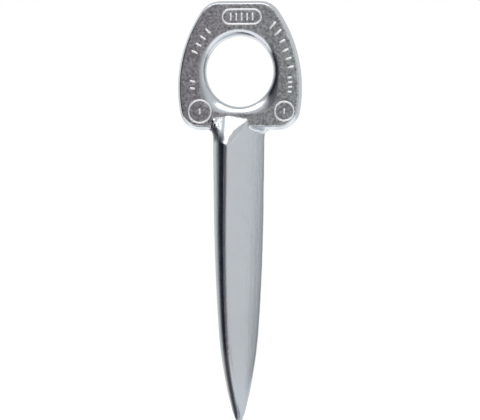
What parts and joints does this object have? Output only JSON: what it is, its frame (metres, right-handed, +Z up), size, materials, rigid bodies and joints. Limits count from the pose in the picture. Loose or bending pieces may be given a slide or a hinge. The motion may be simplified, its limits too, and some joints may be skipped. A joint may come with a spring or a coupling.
{
  "type": "piton",
  "caption": "Forged zinc plated steel piton: a flat head with a large round-lipped eye, and a tapered pointed blade turned 45 degrees to the head.",
  "frame": {"origin": "on the blade's axis, level with the underside of the head, where the piton stops in the rock", "axes": "+Z up from the point to the eye, along the blade's axis; the head's flat faces look along -Y (front) and +Y (back); +X to the right seen from the front; the blade's broad faces are turned 45 degrees about Z"},
  "size_m": [0.0344, 0.0138, 0.1156],
  "materials": {
    "zinc_plated_head": "bright zinc plating over a forged, slightly grainy face",
    "zinc_plated_blade": "bright zinc plating, smooth, with fine lengthwise streaks"
  },
  "bodies": {
    "root": {"eye_head": "zinc_plated_head", "blade": "zinc_plated_blade"}
  },
  "joints": []
}
